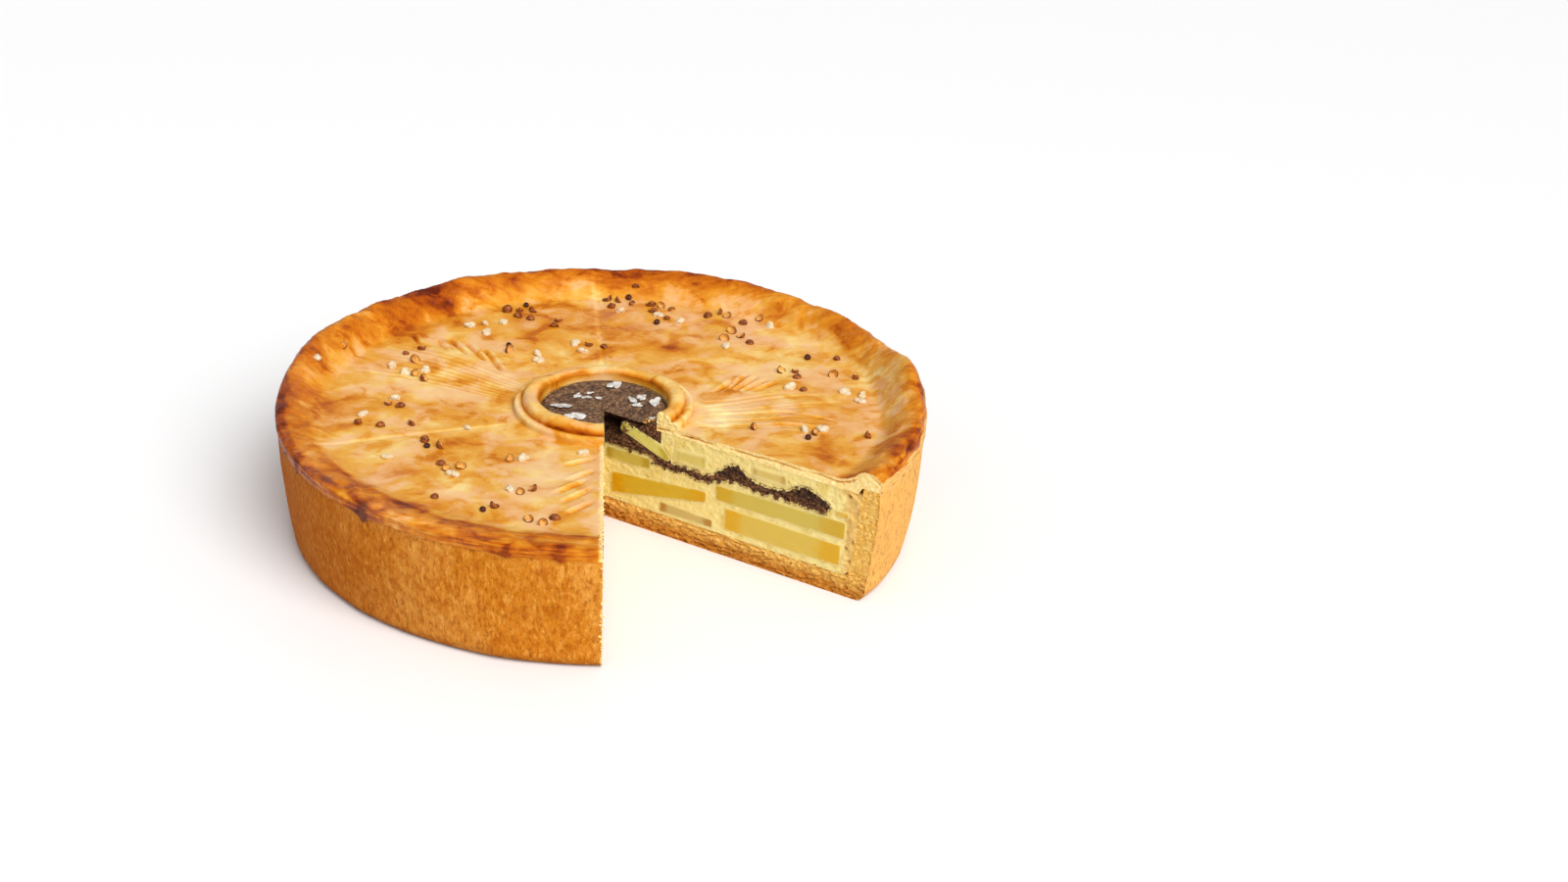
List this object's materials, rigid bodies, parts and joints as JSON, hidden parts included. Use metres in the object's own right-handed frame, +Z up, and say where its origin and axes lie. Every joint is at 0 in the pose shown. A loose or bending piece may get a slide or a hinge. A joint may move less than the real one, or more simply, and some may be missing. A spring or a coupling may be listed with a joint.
{
  "type": "potato pie",
  "caption": "Round baked potato pie with a wedge cut out, showing layers of potato, cream and dark stuffing under a glazed lid with a raised rim and a dough ring round a dark centre.",
  "frame": {"origin": "on the pie's axis, in the plane of its flat base", "axes": "+Z up along the pie's axis; +Y away from the viewer of the picture; +X to the viewer's right; the wedge is cut out between +X and -Y"},
  "size_m": [0.24, 0.24, 0.0589],
  "materials": {
    "baked_pastry": "dry baked pastry, golden brown, finely speckled; crumbly at the cuts",
    "glazed_pastry": "egg-glazed pastry, golden, browned at the rim, with brush streaks",
    "ring_pastry": "egg-glazed dough, golden, browned in the groove",
    "dark_stuffing": "dark crumbly stuffing with salt flakes on top",
    "cream": "soft set cream, pale yellow, moist",
    "potato": "cooked potato, yellow, moist and slightly translucent"
  },
  "bodies": {
    "root": {"pastry_case": "baked_pastry", "pastry_lid": "glazed_pastry", "dough_ring": "ring_pastry", "dark_stuffing": "dark_stuffing", "cream": "cream", "potato_core": "potato", "potato_middle_outer": "potato", "potato_low_inner": "potato", "potato_low_small": "potato", "potato_low_outer": "potato", "potato_top_inner": "potato", "potato_top_outer": "potato", "potato_sliver": "potato", "potato_collar": "potato"}
  },
  "joints": []
}
